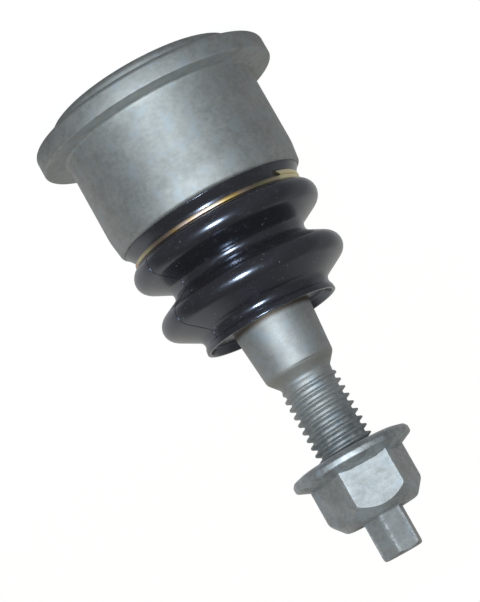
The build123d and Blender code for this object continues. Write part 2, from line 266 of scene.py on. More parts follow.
def room_light(paint, direction):
    """What a polished surface sees in a direction: pale beyond the object, dim on the camera's side."""
    across = paint.node("SeparateXYZ", None, {0: direction}, "X")
    depth = paint.node("SeparateXYZ", None, {0: direction}, "Y")
    left = across.rises(-SEAM, SEAM)
    outward = abs(across).rises(PANEL_START, PANEL_FULL)
    front = ROOM_RIGHT_FRONT + (ROOM_DIM - ROOM_RIGHT_FRONT) * left
    level = ROOM_RIGHT + (ROOM_PANEL - ROOM_RIGHT) * left
    near = depth.rises(-SEAM, PANEL_DEPTH)
    far = depth.rises(BACK_START, BACK_FULL)
    open_side = near * (outward + far - outward * far)
    panel = level + (ROOM_BACK - level) * far
    return front + (panel - front) * open_side


def make_world():
    world = bpy.data.worlds.new("studio")
    bpy.context.scene.world = world
    paint = Paint(world)
    direction = paint.node("TexCoord", output="Generated")
    seen = paint.node("LightPath", output="Is Camera Ray")
    mirrored = paint.node("LightPath", output="Is Glossy Ray")
    through = paint.node("LightPath", output="Is Transmission Ray")
    polished = room_light(paint, direction) * mirrored + ROOM_EVEN * (1 - mirrored)
    white = paint.node("Math", {"operation": "MAXIMUM"}, {0: seen, 1: through})
    strength = polished + (1 - polished) * white
    colour = paint.blend(white, ROOM_TINT, grey(1))
    shader = paint.node("Background", None, {"Color": colour, "Strength": strength})
    paint.node("OutputWorld", None, {"Surface": shader})


def make_floor():
    level = foot("housing") * MM
    data = bpy.data.meshes.new("floor")
    mesh = bmesh.new()
    bmesh.ops.create_grid(mesh, x_segments=1, y_segments=1, size=FLOOR_SIZE / 2)
    bmesh.ops.translate(mesh, verts=mesh.verts, vec=(0, 0, level))
    mesh.to_mesh(data)
    mesh.free()
    floor = bpy.data.objects.new("floor", data)
    bpy.context.scene.collection.objects.link(floor)
    paint = Paint(bpy.data.materials.new("floor_white"))
    mirrored = paint.node("LightPath", output="Is Glossy Ray")
    direction = paint.node("VectorMath", {"operation": "NORMALIZE"}, {0: paint.place()})
    white = (1 - FLOOR_SHADOW * FLOOR_LIT) / (1 - FLOOR_SHADOW)
    strength = white + (room_light(paint, direction) - white) * mirrored
    glow = paint.node("Emission", None, {"Color": grey(1), "Strength": strength})
    matt = paint.node("BsdfDiffuse", None, {"Color": grey(FLOOR_GREY)})
    share = 1 - FLOOR_SHADOW * (1 - mirrored)
    shader = paint.node("MixShader", None, {0: share, 1: matt, 2: glow})
    paint.node("OutputMaterial", None, {"Surface": shader})
    data.materials.append(paint.owner)


def make_flash():
    """A soft round lamp beside the camera."""
    data = bpy.data.lights.new("flash", "AREA")
    data.shape = "DISK"
    data.size = FLASH_SIZE * MM
    data.energy = FLASH_POWER
    data.color = FLASH_TINT
    lamp = bpy.data.objects.new("flash", data)
    lamp.location = Vector(FLASH_PLACE) * MM
    lamp.rotation_mode = "QUATERNION"
    lamp.rotation_quaternion = (Vector(FLASH_AIM) * MM - lamp.location).to_track_quat("-Z", "Y")
    bpy.context.scene.collection.objects.link(lamp)


make_world()
make_floor()
make_flash()


# Finishes. A colour is red, green, blue and alpha.
# Painted shadow: the brownish shadow that the boot's skirt casts on the shank where the stud leaves it
SKIRT_SHADOW_BROWN = (0.13, 0.09, 0.055, 1)
SHOULDER_WARM = (0.36, 0.34, 0.29, 1)
# Painted shadow: a thin dark line where the shank meets the shoulder, on the camera's side only
SHOULDER_SHADOW_LINE = (0.10, 0.10, 0.09, 1)
THREAD_WORN = (0.21, 0.235, 0.25, 1)
THREAD_FLECK = (0.80, 0.82, 0.83, 1)
# Painted highlight along the hexagons' upright corners: its colour, then the insets from the corner where
# it fades in and where it is full
CORNER_HIGHLIGHT = (0.85, 0.87, 0.88, 1)
CORNER_HIGHLIGHT_INSETS = (0.45, 0.1)
RUBBER_DARK = (0.0082, 0.0070, 0.0082, 1)
RUBBER_LIGHT = (0.0145, 0.0130, 0.0150, 1)
RUBBER_SCUFF = (0.034, 0.033, 0.037, 1)
RUBBER_DUST = (0.30, 0.31, 0.33, 1)
RUBBER_SHEEN = (0.70, 0.79, 1.0, 1)
WIRE_TINTS = [
    (0.30, (0.34, 0.24, 0.10, 1)),
    (0.42, (0.66, 0.46, 0.18, 1)),
    (0.52, (0.68, 0.52, 0.46, 1)),
    (0.62, (0.66, 0.63, 0.40, 1)),
]
WIRE_SPECK = (0.45, 0.27, 0.16, 1)
# Painted shade on two stretches of the wire
WIRE_SHADE = (0.09, 0.07, 0.035, 1)
# Painted reflection: the wire's -X side, around its cut end, painted pale cream
WIRE_PALE_REFLECTION = (0.96, 0.88, 0.60, 1)
# Two stretches of the wire painted darker as shade, by X in millimetres, half width and share
WIRE_SHADE_PLACES = ((13, 7, 0.55), (-11, 7, 0.6))
# Where the painted pale reflection starts and is full, by X in millimetres
WIRE_REFLECTION_START = -16.5
WIRE_REFLECTION_FULL = -18
ACETAL_DARK = (0.72, 0.70, 0.62, 1)
ACETAL_LIGHT = (0.84, 0.82, 0.74, 1)
ZINC_COOLING = (0.90, 0.97, 1.05)
PIT_TONE = 0.5
STREAK_TONE = 0.7
# Marks on the stud, two of them painted shadows, each by its height from the taper's start or end and its
# width, in millimetres
# Height and width of the painted skirt shadow on the shank
SKIRT_SHADOW_HEIGHT = 0.2
SKIRT_SHADOW_WIDTH = 1.3
WARM_HEIGHT = 1.0
WARM_WIDTH = 2.2
# The painted shadow line at the shoulder: its height and width, then where across X it lies on the
# camera's side
SHADOW_LINE_HEIGHT = -0.1
SHADOW_LINE_WIDTH = 0.3
SHADOW_LINE_MIDDLE = -1.5
SHADOW_LINE_REACH = 5
WEAR_START = 6
WEAR_FULL = 20
FLECK_START = 3
FLECK_FULL = 6
FLECK_RADII = (6.5, 6.8)


def toned(colour, share):
    """The colour, darkened to a share of itself."""
    return [channel * share for channel in colour[:3]] + [1]


def zinc(name, light, dark, roughness=0.67, pits=0.5, turned=0.5, marks=None):
    """Satin zinc plate on turned steel: clouded, fine-grained, with turning marks and small dark pits."""
    paint = Paint(bpy.data.materials.new(name))
    cloud = paint.noise(0.22, detail=3, roughness=0.55)
    patch = paint.noise(0.7, (1, 1, 1.4), detail=3, roughness=0.6)
    grain = paint.noise(2.6, detail=2, roughness=0.6)
    turning = paint.noise(1.0, (0.04, 0.04, 5), detail=5, roughness=0.7)
    tone = cloud * 0.3 + patch * 0.3 + grain * 0.25 + turning * 0.15
    colour = paint.blend(tone.rises(0.38, 0.62), dark, light)
    cool = [channel * factor for channel, factor in zip(light, ZINC_COOLING)] + [1]
    cooled = paint.noise(0.33, (1, 1, 0.8), detail=3).rises(0.5, 0.68)
    colour = paint.blend(cooled * 0.7, colour, cool)
    pit = paint.noise(1.5, (1, 1, 1.6), detail=4, roughness=0.7).rises(0.64, 0.74)
    colour = paint.blend(pit * pits, colour, toned(dark, PIT_TONE))
    streak = paint.noise(0.8, (0.12, 0.12, 7), detail=3, roughness=0.6).rises(0.6, 0.75)
    colour = paint.blend(streak * 0.25 * turned, colour, toned(dark, STREAK_TONE))
    if marks:
        colour = marks(paint, colour)
    rough = roughness + (grain - 0.5) * 0.14 + (turning - 0.5) * 0.2 * turned
    relief = paint.bump(turning * 0.5 * turned + grain * 0.5, 0.45, 0.04)
    return paint.surface(base_color=colour, metallic=1.0, roughness=rough, normal=relief)


def stud_marks(paint, colour):
    """A painted brownish shadow where the shank leaves the boot, a warm shoulder edged by a thin painted
    shadow line, and threads that darken to the nut.
    """
    height = paint.along("Z")
    cloud = paint.noise(0.5, detail=4, roughness=0.6)
    # Painted shadow of the boot's skirt, brownish, where the shank leaves the boot
    skirt_shadowed = height.near(TAPER_START + SKIRT_SHADOW_HEIGHT, SKIRT_SHADOW_WIDTH)
    colour = paint.blend(skirt_shadowed * 0.85, colour, SKIRT_SHADOW_BROWN)
    warmed = height.near(TAPER_END + WARM_HEIGHT, WARM_WIDTH)
    colour = paint.blend(warmed * 0.55, colour, SHOULDER_WARM)
    # Painted shadow: a thin dark line at the shoulder's edge, only on the side that faces the camera
    camera_side = paint.along("X").near(SHADOW_LINE_MIDDLE, SHADOW_LINE_REACH) * paint.along("Y").rises(0, -4)
    shadow_lined = height.near(TAPER_END + SHADOW_LINE_HEIGHT, SHADOW_LINE_WIDTH)
    colour = paint.blend(shadow_lined * camera_side * 0.7, colour, SHOULDER_SHADOW_LINE)
    worn = height.rises(TAPER_END + WEAR_START, TAPER_END + WEAR_FULL) * cloud.rises(0.3, 0.6)
    colour = paint.blend(worn * 0.75, colour, THREAD_WORN)
    fleck = paint.noise(3.2, detail=1).rises(0.66, 0.72) * paint.distance_from_axis().rises(*FLECK_RADII)
    flecked = fleck * height.rises(TAPER_END + FLECK_START, TAPER_END + FLECK_FULL)
    return paint.blend(flecked * 0.6, colour, THREAD_FLECK)


def highlit_corners(corner, share=0.7):
    """Painted highlight, pale and broken, along a hexagon's upright corners, which stand that far from
    the axis.
    """
    def marks(paint, colour):
        edge = paint.distance_from_axis().rises(*(corner - inset for inset in CORNER_HIGHLIGHT_INSETS))
        broken = paint.noise(1.2, detail=4, roughness=0.7).rises(0.4, 0.6)
        # Painted highlight: pale along the corners, broken by noise
        return paint.blend(edge * broken * share, colour, CORNER_HIGHLIGHT)
    return marks


def rubber():
    """Black rubber with a soft sheen, scuffed and dusty, in a pattern that stretches with the boot."""
    paint = Paint(bpy.data.materials.new("boot_black_rubber"), REST_PLACE)
    cloud = paint.noise(0.12, detail=3)
    fine = paint.noise(2.6, detail=3)
    dust = paint.noise(1.1, detail=2, roughness=0.7).rises(0.69, 0.77)
    scuff = paint.noise(0.45, (1, 1, 2.5), detail=5, roughness=0.7).rises(0.52, 0.75)
    colour = paint.blend(cloud, RUBBER_DARK, RUBBER_LIGHT)
    colour = paint.blend(scuff * 0.5, colour, RUBBER_SCUFF)
    colour = paint.blend(dust * 0.5, colour, RUBBER_DUST)
    rough = 0.20 + scuff * 0.12 + fine * 0.06
    relief = paint.bump(fine, 0.1, 0.03)
    return paint.surface(
        base_color=colour,
        roughness=rough,
        normal=relief,
        ior=2.05,
        specular_tint=RUBBER_SHEEN,
        coat_weight=0.25,
        coat_roughness=0.16,
        coat_ior=1.6,
    )


def gold_wire():
    """Yellow-passivated flat wire whose tint wanders from brown and gold to pink and pale green, with
    painted shade on two stretches and a painted pale reflection at its -X side.
    """
    paint = Paint(bpy.data.materials.new("clamp_yellow_zinc"))
    tint = paint.noise(0.09, detail=3, roughness=0.6)
    fine = paint.noise(2.5, detail=3)
    colour = paint.node("ValToRGB", {"stops": WIRE_TINTS}, {0: tint})
    colour = paint.blend(fine.rises(0.6, 0.8) * 0.5, colour, WIRE_SPECK)
    across = paint.along("X")
    # Painted shade on two stretches of the wire, placed by X
    for middle, width, share in WIRE_SHADE_PLACES:
        colour = paint.blend(across.near(middle, width) * share, colour, WIRE_SHADE)
    # Painted reflection: pale cream on the wire's -X side
    colour = paint.blend(across.rises(WIRE_REFLECTION_START, WIRE_REFLECTION_FULL), colour, WIRE_PALE_REFLECTION)
    relief = paint.bump(fine, 0.3, 0.03)
    return paint.surface(base_color=colour, metallic=1.0, roughness=0.42 + fine * 0.12, normal=relief)


def polymer():
    """Natural acetal with a faint milky mottling."""
    paint = Paint(bpy.data.materials.new("seat_acetal"))
    cloud = paint.noise(0.3, detail=3)
    colour = paint.blend(cloud, ACETAL_DARK, ACETAL_LIGHT)
    return paint.surface(base_color=colour, roughness=0.42 + cloud * 0.1)


housing_zinc = zinc("housing_satin_zinc", (0.51, 0.515, 0.50, 1), (0.39, 0.395, 0.385, 1), turned=0.8)
stud_zinc = zinc(
    "stud_satin_zinc",
    (0.51, 0.515, 0.505, 1),
    (0.41, 0.41, 0.40, 1),
    turned=0.6,
    marks=stud_marks,
)
drive_zinc = zinc(
    "drive_satin_zinc",
    (0.51, 0.515, 0.505, 1),
    (0.39, 0.39, 0.385, 1),
    roughness=0.66,
    pits=0.6,
    turned=0,
    # Painted highlights along the drive's corners
    marks=highlit_corners(DRIVE_FLATS / sqrt(3)),
)
nut_zinc = zinc(
    "nut_mottled_zinc",
    (0.57, 0.58, 0.575, 1),
    (0.40, 0.405, 0.40, 1),
    roughness=0.64,
    pits=0.8,
    turned=0,
    # Fainter painted highlights along the nut's corners
    marks=highlit_corners(NUT_FLATS / sqrt(3), 0.3),
)
rim_zinc = zinc(
    "nut_rim_mottled_zinc",
    (0.58, 0.60, 0.60, 1),
    (0.34, 0.345, 0.35, 1),
    roughness=0.6,
    pits=0.9,
    turned=0,
)
cover_zinc = zinc("cover_satin_zinc", (0.50, 0.51, 0.50, 1), (0.40, 0.405, 0.395, 1), turned=0.6)
dark_steel = zinc("spring_dark_steel", (0.22, 0.22, 0.23, 1), (0.14, 0.14, 0.15, 1), roughness=0.5)
black_rubber = rubber()
yellow_zinc = gold_wire()
white_acetal = polymer()


# Modelling helpers
WELD = 0.002
CUT_TOLERANCE = 0.001
UPRIGHT_EDGE = 4


def rounded(corners, steps=5):
    """A closed outline from its corners (radius, height, rounding), with no rounding where sharp."""
    outline = []
    for index, corner in enumerate(corners):
        here = Vector(corner[:2])
        if len(corner) < 3:
            outline.append(here)
            continue
        back = (Vector(corners[index - 1][:2]) - here).normalized()
        on = (Vector(corners[(index + 1) % len(corners)][:2]) - here).normalized()
        half = back.angle(on) / 2
        centre = here + (back + on).normalized() * corner[2] / sin(half)
        start = here + back * corner[2] / tan(half) - centre
        end = here + on * corner[2] / tan(half) - centre
        turned = [start.slerp(end, step / steps) for step in range(steps + 1)]
        outline += [centre + corner[2] * direction for direction in turned]
    return outline


def arc(centre, radius, start, end, steps=10):
    """Points on an arc, with its start and end angle in degrees from the radius axis."""
    angles = [radians(start + (end - start) * step / steps) for step in range(steps + 1)]
    return [Vector(centre) + radius * Vector((cos(angle), sin(angle))) for angle in angles]


def spun(mesh, outline, closed=True, steps=SMOOTH_STEPS):
    """Adds to mesh the surface that an outline makes when it turns about the axis."""
    points = [mesh.verts.new((radius * MM, 0, height * MM)) for radius, height in outline]
    pairs = zip(points, points[1:] + points[:1]) if closed else zip(points, points[1:])
    edges = [mesh.edges.new(pair) for pair in pairs]
    bmesh.ops.spin(
        mesh,
        geom=points + edges,
        cent=(0, 0, 0),
        axis=(0, 0, 1),
        angle=2 * pi,
        steps=steps,
        use_merge=True,
    )
    bmesh.ops.remove_doubles(mesh, verts=mesh.verts, dist=WELD * MM)


def make_piece(name, mesh, finish, body=None, crease=32):
    """Turns a bmesh into a smooth-shaded piece with its normals outwards."""
    bmesh.ops.recalc_face_normals(mesh, faces=mesh.faces)
    data = bpy.data.meshes.new(name)
    mesh.to_mesh(data)
    mesh.free()
    data.shade_smooth()
    data.set_sharp_from_angle(angle=radians(crease))
    data.materials.append(finish)
    places = [number for vert in data.vertices for number in vert.co]
    data.attributes.new(REST_PLACE, "FLOAT_VECTOR", "POINT").data.foreach_set("vector", places)
    piece = bpy.data.objects.new(name, data)
    bpy.context.scene.collection.objects.link(piece)
    if body:
        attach(piece, body)
    return piece


def hexagon_cut(mesh, flats, angle):
    """Trims a turned blank to six flats and closes each cut. A corner stands at that angle."""
    for side in range(6):
        turn = radians(angle + 30 + 60 * side)
        outward = Vector((cos(turn), sin(turn), 0))
        cut = bmesh.ops.bisect_plane(
            mesh,
            geom=mesh.verts[:] + mesh.edges[:] + mesh.faces[:],
            dist=CUT_TOLERANCE * MM,
            plane_co=outward * flats / 2 * MM,
            plane_no=outward,
            clear_outer=True,
        )
        rim = [item for item in cut["geom_cut"] if isinstance(item, bmesh.types.BMEdge)]
        bmesh.ops.edgeloop_fill(mesh, edges=rim)


def bevel_corners(mesh, flats, width):
    """Rounds a hexagon's six upright corners."""
    corners = [
        edge for edge in mesh.edges
        if abs(edge.verts[0].co.z - edge.verts[1].co.z) > UPRIGHT_EDGE * MM
        and edge.verts[0].co.xy.length > flats / 2 * MM
    ]
    bmesh.ops.bevel(
        mesh,
        geom=corners,
        offset=width * MM,
        offset_type="OFFSET",
        affect="EDGES",
        segments=3,
        profile=0.5,
        material=-1,
    )


# Housing
PLAY = 0.05
HOUSING_FOOT = foot("housing")
HOUSING_TOP = top("housing")
BARREL_RADIUS = mount("housing_barrel")["dims"]["r_mm"]
FLANGE_RADIUS = reach("housing")
FLANGE_SEAT = mount("flange_seat")["pos_m"][2] / MM
FLANGE_THICKNESS = 5.0
FLANGE_BACK_ROUNDING = 1.1
FLANGE_SEAT_ROUNDING = 0.5
FLANGE_FILLET = 0.8
COLLAR_ROUNDING = 1.8
COLLAR_FILLET = 0.3
LIP_END_RADIUS = 20.3
LIP_END_ROUNDING = 0.4
LIP_RADIUS = 18.6
LIP_ROUNDING = 0.3
LIP_CHAMFER_WIDTH = 1.2
LIP_CHAMFER_HEIGHT = 1.25
LIP_TOP = top("cover_plate") - 3.05
BORE_RADIUS = reach("seat_lower") + PLAY
COVER_BORE_RADIUS = reach("cover_plate") + PLAY
COLLAR_RADIUS = COVER_BORE_RADIUS + 3.5
SHOULDER = foot("boot") - PLAY
LEAD_IN = 5.0
LEAD_IN_DEPTH = 0.7
LEAD_IN_ROUNDING = 20.0
BARREL_END_ROUNDING = 0.9
NECK_RADIUS = 18.997
NECK_RIB = 0.8
NECK_GROOVE = 3.5
MOUTH_RADIUS = 15.997
MOUTH_ROUNDING = 0.3
THROAT_RADIUS = 13.25
THROAT_TOP = SHOULDER + 0.4
THROAT_ROUNDING = 0.2
SOCKET_ROOF = SHOULDER - 0.45
SOCKET_SLOPE_WIDTH = 3.6
SOCKET_SLOPE_FOOT = SHOULDER - 4.1


def make_housing():
    mesh = bmesh.new()
    flange_back = FLANGE_SEAT - FLANGE_THICKNESS
    groove_top = SHOULDER + NECK_GROOVE
    spun(mesh, rounded([
        (LIP_END_RADIUS, HOUSING_FOOT, LIP_END_ROUNDING),
        (COLLAR_RADIUS, HOUSING_FOOT, COLLAR_ROUNDING),
        (COLLAR_RADIUS, flange_back, COLLAR_FILLET),
        (FLANGE_RADIUS, flange_back, FLANGE_BACK_ROUNDING),
        (FLANGE_RADIUS, FLANGE_SEAT, FLANGE_SEAT_ROUNDING),
        (BARREL_RADIUS, FLANGE_SEAT, FLANGE_FILLET),
        (BARREL_RADIUS, SHOULDER - LEAD_IN, LEAD_IN_ROUNDING),
        (BARREL_RADIUS - LEAD_IN_DEPTH, SHOULDER, BARREL_END_ROUNDING),
        (NECK_RADIUS, SHOULDER),
        (NECK_RADIUS, groove_top),
        (NECK_RADIUS + NECK_RIB, groove_top + NECK_RIB),
        (NECK_RADIUS + NECK_RIB, HOUSING_TOP - NECK_RIB),
        (NECK_RADIUS, HOUSING_TOP),
        (MOUTH_RADIUS, HOUSING_TOP, MOUTH_ROUNDING),
        (THROAT_RADIUS, THROAT_TOP, THROAT_ROUNDING),
        (THROAT_RADIUS, SOCKET_ROOF),
        (BORE_RADIUS - SOCKET_SLOPE_WIDTH, SOCKET_ROOF),
        (BORE_RADIUS, SOCKET_SLOPE_FOOT),
        (BORE_RADIUS, top("cover_plate")),
        (COVER_BORE_RADIUS, top("cover_plate")),
        (COVER_BORE_RADIUS, LIP_TOP + LIP_CHAMFER_HEIGHT),
        (COVER_BORE_RADIUS - LIP_CHAMFER_WIDTH, LIP_TOP),
        (LIP_RADIUS, LIP_TOP, LIP_ROUNDING),
    ]))
    shell = make_piece("housing_shell", mesh, housing_zinc, "housing")
    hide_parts("housing")


# Boot
BOOT_FOOT = foot("boot")
BOOT_TOP = top("boot")
BOOT_WALL = 1.5
BOOT_BORE = 19.05
BOOT_BORE_TOP = BOOT_FOOT + 3.45
BEAD_RADIUS = 22.897
BEAD_ROUNDING = 0.15
BEAD_INNER_RADIUS = 20.197
BEAD_INNER_TOP = BOOT_FOOT + 3.5
BEAD_TOP = BOOT_FOOT + 2.2
BEAD_FOOT_RADIUS = 21.3
BEAD_HOLLOW = 1.2
GROOVE_RADIUS = 20.9
GROOVE_FOOT = BEAD_TOP + 1.6
GROOVE_FOOT_ROUNDING = 0.3
GROOVE_TOP = BOOT_FOOT + 4.4
GROOVE_TOP_ROUNDING = 0.2
CREST_RADIUS = 3.1
WAIST_RADIUS = 2.0
CREST_1 = Vector((reach("boot") - CREST_RADIUS, BOOT_FOOT + 7.1))
WAIST_1 = CREST_1 + Vector((-1.65, 6.7))
CREST_2 = Vector((20.3, WAIST_1.y + 6.4))
WAIST_2 = Vector((18.2, CREST_2.y + 7.1))
WAIST_2_SWEEP = 170
WALL_END_RADIUS = 15.6
WALL_END_DROP = 0.3
SKIRT_TURN = 35
SKIRT_RADIUS = 16.7
SKIRT_THICKNESS = 0.9
SKIRT_DEPTH = 1.9
SKIRT_ROUNDING = 0.3
COLLAR_BORE = 9.8
COLLAR_BORE_ROUNDING = 0.2
COLLAR_FOOT = foot("boot_end_ring")
RING_INNER_RADIUS = 11.05
RING_OUTER_RADIUS = 13.45
RING_TOP = COLLAR_FOOT + 2.25
LEAN = 0.015
LEAN_LIFT = 0.15
LEAN_RADII = (13.6, 15.2)
PARTING_ANGLE = 321.5
PARTING_RISE = 0.08
PARTING_SINK = 0.24
PARTING_WIDTH = 0.45


def flank(crest, waist):
    """Angle of the straight flank's normal between a crest and a waist, from the crest's centre."""
    across = waist - crest
    turn = degrees(acos((CREST_RADIUS + WAIST_RADIUS) / across.length))
    heading = degrees(atan2(across.y, across.x))
    return heading - turn if across.y > 0 else heading + turn


def convolutions(offset, end=None):
    """The boot wall's line through both crests and waists, moved inwards by offset."""
    first = flank(CREST_1, WAIST_1)
    second = flank(CREST_2, WAIST_1)
    third = flank(CREST_2, WAIST_2)
    crest = CREST_RADIUS - offset
    waist = WAIST_RADIUS + offset
    start = -degrees(asin((CREST_1.y - GROOVE_TOP) / CREST_RADIUS))
    line = arc(CREST_1, crest, start, first)
    line += arc(WAIST_1, waist, first + 180, second + 180)
    line += arc(CREST_2, crest, second, third)
    return line + arc(WAIST_2, waist, third + 180, end or third + WAIST_2_SWEEP)


def smooth_share(value, low, high):
    """0 below low, 1 above high and a smooth step between them."""
    share = min(max((value - low) / (high - low), 0), 1)
    return share * share * (3 - 2 * share)


def lean(mesh):
    """Moves the boot's convolutions and skirt a little to +X; its bead and its collar's bore stay."""
    for vert in mesh.verts:
        x, y, height = vert.co / MM
        share = smooth_share(height, GROOVE_TOP, CREST_2.y) * smooth_share(hypot(x, y), *LEAN_RADII)
        vert.co.x += share * LEAN * (height - BOOT_FOOT) * MM
        vert.co.z += share * (LEAN_LIFT - LEAN * x) * MM


def parting_line(mesh, azimuth):
    """The thin ridge that the mould's joint leaves along both crests, sunk into the boot's wall."""
    end = 180 - SKIRT_TURN
    ridge = convolutions(-PARTING_RISE, end)[2:-1] + convolutions(PARTING_SINK, end)[-2:1:-1]
    points = [mesh.verts.new((radius * MM, 0, height * MM)) for radius, height in ridge]
    start = mesh.faces.new(points)
    half_turn = PARTING_WIDTH / CREST_1.x / 2
    made = bmesh.ops.spin(
        mesh, geom=[start], cent=(0, 0, 0), axis=(0, 0, 1), angle=2 * half_turn, steps=1
    )
    moved = points + [item for item in made["geom_last"] if isinstance(item, bmesh.types.BMVert)]
    turn = Quaternion((0, 0, 1), radians(azimuth) - half_turn)
    bmesh.ops.rotate(mesh, cent=(0, 0, 0), matrix=turn.to_matrix(), verts=moved)


def make_boot():
    mesh = bmesh.new()
    # Corners that only lead into or out of an outline are dropped again
    outer = rounded([
        (BEAD_INNER_RADIUS, BEAD_INNER_TOP),
        (BOOT_BORE, BOOT_BORE_TOP),
        (BOOT_BORE, BOOT_FOOT),
        (BEAD_RADIUS, BOOT_FOOT, BEAD_ROUNDING),
        (BEAD_FOOT_RADIUS, BEAD_TOP, BEAD_HOLLOW),
        (GROOVE_RADIUS, GROOVE_FOOT, GROOVE_FOOT_ROUNDING),
        (GROOVE_RADIUS, GROOVE_TOP - GROOVE_TOP_ROUNDING, GROOVE_TOP_ROUNDING),
        (GROOVE_RADIUS + 1, GROOVE_TOP),
    ])[:-1]
    outer += convolutions(0, 180 - SKIRT_TURN)
    skirt = rounded([
        outer[-1][:],
        (SKIRT_RADIUS, BOOT_TOP, SKIRT_ROUNDING),
        (SKIRT_RADIUS - SKIRT_THICKNESS, BOOT_TOP, SKIRT_ROUNDING),
        (WAIST_2.x - WAIST_RADIUS - SKIRT_THICKNESS, BOOT_TOP - SKIRT_DEPTH, SKIRT_ROUNDING),
        (COLLAR_BORE, BOOT_TOP - SKIRT_DEPTH, COLLAR_BORE_ROUNDING),
        (COLLAR_BORE, COLLAR_FOOT),
        (RING_INNER_RADIUS, COLLAR_FOOT),
        (RING_INNER_RADIUS, RING_TOP),
        (RING_OUTER_RADIUS, RING_TOP),
        (RING_OUTER_RADIUS, COLLAR_FOOT),
        (WALL_END_RADIUS, COLLAR_FOOT),
    ])[1:]
    wall_end = COLLAR_FOOT - WALL_END_DROP
    inner = [point for point in reversed(convolutions(BOOT_WALL)) if point.y < wall_end]
    spun(mesh, outer + skirt + inner)
    for azimuth in (PARTING_ANGLE, PARTING_ANGLE - 180):
        parting_line(mesh, azimuth)
    lean(mesh)
    boot = make_piece("rubber_boot", mesh, black_rubber, crease=50)
    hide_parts("boot")
    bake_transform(boot)


# Clamp ring
WIRE_DEPTH = 0.9
WIRE_HEIGHT = 1.1
WIRE_INNER_ROUNDING = 0.2
WIRE_OUTER_ROUNDING = 0.3
WIRE_TURNS = 1.3
WIRE_START = 215
WIRE_LOW = 2.5
WIRE_STEP = 1.0
WIRE_STEP_TURNS = (0.3, 0.6)
WIRE_CREEP = 0.12
WIRE_CREEP_TURNS = (0.85, 1)
WIRE_SPRING = 0.3
WIRE_SPRING_TURNS = (0, 0.09)
WIRE_TIP_TURNS = (0, 0.025)
WIRE_TIP_LEAN = 1.3
WIRE_TIP_SKEW = 1.2
WIRE_STEPS = 240
WIRE_SPREAD = 5.0


def wire_height(turn):
    """Height of the wire's middle above the boot's foot: low at first, then beside its own start."""
    step = WIRE_STEP * smooth_share(turn, *WIRE_STEP_TURNS)
    return WIRE_LOW + step + WIRE_CREEP * smooth_share(turn, *WIRE_CREEP_TURNS)


def make_clamp_ring():
    """A flat wire coil: spun wide apart, so that each step can be told, then laid down in the groove."""
    mesh = bmesh.new()
    inner = GROOVE_RADIUS + PLAY
    section = rounded([
        (inner, -WIRE_HEIGHT / 2, WIRE_INNER_ROUNDING),
        (inner + WIRE_DEPTH, -WIRE_HEIGHT / 2, WIRE_OUTER_ROUNDING),
        (inner + WIRE_DEPTH, WIRE_HEIGHT / 2, WIRE_OUTER_ROUNDING),
        (inner, WIRE_HEIGHT / 2, WIRE_INNER_ROUNDING),
    ], 3)
    points = [mesh.verts.new((radius * MM, 0, height * MM)) for radius, height in section]
    start = mesh.faces.new(points)
    bmesh.ops.spin(
        mesh,
        geom=[start],
        cent=(0, 0, 0),
        axis=(0, 0, 1),
        dvec=(0, 0, WIRE_SPREAD * MM),
        angle=-2 * pi * WIRE_TURNS,
        steps=WIRE_STEPS,
    )
    for vert in mesh.verts:
        step = round(vert.co.z / MM / WIRE_SPREAD)
        turn = step / WIRE_STEPS * WIRE_TURNS
        depth = hypot(vert.co.x, vert.co.y) / MM - inner
        level = vert.co.z / MM - step * WIRE_SPREAD
        spring = 1 + WIRE_SPRING * (1 - smooth_share(turn, *WIRE_SPRING_TURNS)) / inner
        cut = (WIRE_TIP_LEAN * depth - WIRE_TIP_SKEW * level) / inner
        cut *= 1 - smooth_share(turn, *WIRE_TIP_TURNS)
        height = BOOT_FOOT + wire_height(turn) + level
        vert.co = (vert.co.x * spring, vert.co.y * spring, height * MM)
        vert.co.rotate(Quaternion((0, 0, 1), cut))
    turned = Quaternion((0, 0, 1), radians(WIRE_START)).to_matrix()
    bmesh.ops.rotate(mesh, cent=(0, 0, 0), matrix=turned, verts=mesh.verts)
    ring = make_piece("yellow_clamp_ring", mesh, yellow_zinc, "housing", crease=40)
    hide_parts("boot_clamp_ring")


# Thread
THREAD_RADIUS = mount("stud_thread")["dims"]["r_mm"]
THREAD_PITCH = 2.0
THREAD_ROOT = 5.9
THREAD_PHASE = 1.83
THREAD_STEPS = 72
THREAD_WELD = 0.01
THREAD_CUT_TOLERANCE = 0.0005
# Half a thread's outline: height from the crest's middle, and depth under the crest or above the root
CREST_FORM = [(0.1, 0), (0.2, 0.06)]
ROOT_FORM = [(0.66, 0.08), (0.74, 0), (1.0, 0)]


